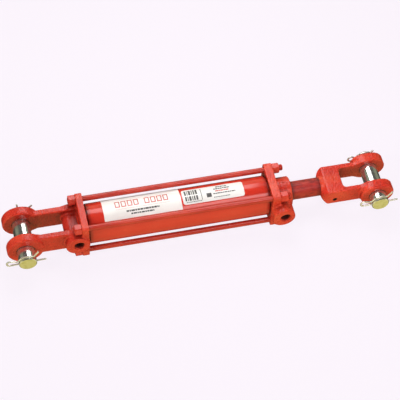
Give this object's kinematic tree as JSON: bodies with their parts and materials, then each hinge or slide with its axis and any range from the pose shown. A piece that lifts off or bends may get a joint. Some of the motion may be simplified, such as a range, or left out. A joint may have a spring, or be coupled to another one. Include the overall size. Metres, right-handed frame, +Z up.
{
  "type": "tie-rod hydraulic cylinder",
  "caption": "Double-acting tie-rod hydraulic cylinder with a side port at each end of the barrel and a clevis, pin and hairpin clips at both ends.",
  "frame": {"origin": "centre of the base clevis pin, midway between the two base clevis arms", "axes": "+X along the cylinder's centre line from the base clevis to the rod clevis; Y along both clevis pins, the ports open towards -Y; +Z up"},
  "size_m": [0.5715, 0.0924, 0.066],
  "materials": {
    "red_paint": "glossy orange-red enamel over castings, tube and rods",
    "painted_nuts": "thick orange-red enamel run into the corners",
    "zinc_pin": "bright zinc plate on the shank, yellow passivate on the end faces",
    "clip_wire": "zinc-plated spring wire with a yellow tint",
    "machined_steel": "turned steel",
    "black_steel": "black oxide",
    "black_rubber": "matt moulded",
    "white_ptfe": "waxy",
    "wear_ring_fibre": "fine woven resin",
    "bronze": "turned",
    "decal": "satin printed film, plain bars and rules only"
  },
  "bodies": {
    "cylinder": {"base_cap": "red_paint", "barrel": "red_paint", "rod_end_head": "red_paint", "tie_rod_1": "red_paint", "tie_rod_2": "red_paint", "tie_rod_3": "red_paint", "tie_rod_4": "red_paint", "base_nuts": "painted_nuts", "head_nuts": "painted_nuts", "cap_oring": "black_rubber", "cap_backup_ring": "white_ptfe", "head_oring": "black_rubber", "head_backup_ring": "white_ptfe", "rod_bushing": "bronze", "rod_seal": "black_rubber", "rod_wiper": "black_rubber", "name_decal": "decal", "data_decal": "decal"},
    "piston_seals": {"piston_seal": "black_rubber", "piston_wear_ring": "wear_ring_fibre"},
    "rod": {"piston": "machined_steel", "piston_oring": "black_rubber", "piston_nut": "machined_steel", "piston_rod": "red_paint", "rod_clevis": "red_paint", "clevis_set_screw": "black_steel"},
    "base_pin_set": {"base_pin": "zinc_pin", "base_clip_near": "clip_wire", "base_clip_far": "clip_wire"},
    "rod_pin_set": {"rod_pin": "zinc_pin", "rod_clip_near": "clip_wire", "rod_clip_far": "clip_wire"}
  },
  "joints": [
    {"name": "rod_slide", "type": "slide", "parent": "cylinder", "child": "piston_seals", "axis": [1, 0, 0], "range_m": [0, 0.2032]},
    {"name": "rod_turn", "type": "hinge", "parent": "piston_seals", "child": "rod", "pos_m": [0.12, 0, 0], "axis": [1, 0, 0], "continuous": true},
    {"name": "base_pin_turn", "type": "hinge", "parent": "cylinder", "child": "base_pin_set", "pos_m": [0, 0, 0], "axis": [0, 1, 0], "continuous": true},
    {"name": "rod_pin_turn", "type": "hinge", "parent": "rod", "child": "rod_pin_set", "pos_m": [0.51435, 0, 0], "axis": [0, 1, 0], "continuous": true}
  ]
}
